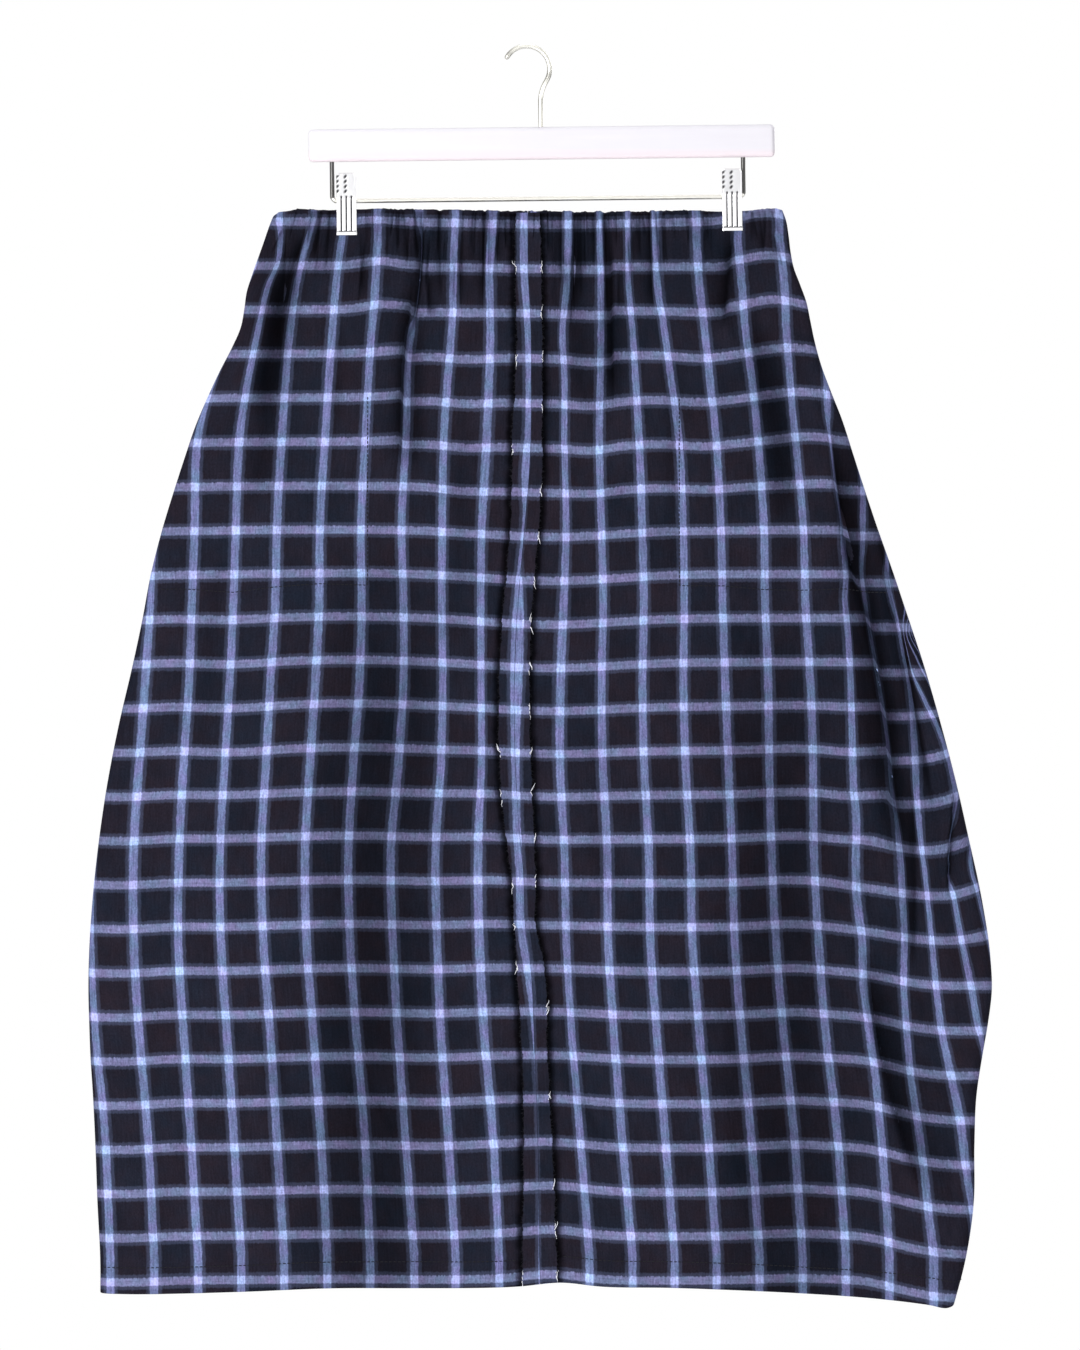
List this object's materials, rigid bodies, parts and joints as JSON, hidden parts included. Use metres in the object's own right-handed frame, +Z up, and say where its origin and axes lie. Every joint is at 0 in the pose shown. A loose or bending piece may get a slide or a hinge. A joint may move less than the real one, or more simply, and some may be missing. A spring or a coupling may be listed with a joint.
{
  "type": "midi skirt on clip hanger",
  "caption": "Checked linen midi skirt with a gathered waist, raw-edged centre-front seam, in-seam pockets and rounded sides, hung by clips from a white bar hanger.",
  "frame": {"origin": "inside top of the hook, where the hanger rests on its rail", "axes": "+Z up, the skirt's front faces -Y, +X to the right as seen from the front"},
  "size_m": [0.6947, 0.0613, 0.9713],
  "materials": {
    "checked_linen": "matt plain weave, woven windowpane check in periwinkle blue on near black",
    "raw_linen": "matt plain weave with a frayed raw edge",
    "pocket_linen": "matt plain weave, the same check",
    "white_wood": "satin white paint on wood",
    "chrome": "polished"
  },
  "bodies": {
    "root": {"front_left": "checked_linen", "front_right": "checked_linen", "back": "checked_linen", "seam_allowance_left": "raw_linen", "seam_allowance_right": "raw_linen", "pocket_bag_left": "pocket_linen", "pocket_bag_right": "pocket_linen", "hanger_bar": "white_wood", "hanger_hook": "chrome", "hanger_rod": "chrome", "clip_left_front": "chrome", "clip_left_back": "chrome", "clip_left_barrel": "chrome", "clip_right_front": "chrome", "clip_right_back": "chrome", "clip_right_barrel": "chrome"}
  },
  "joints": []
}
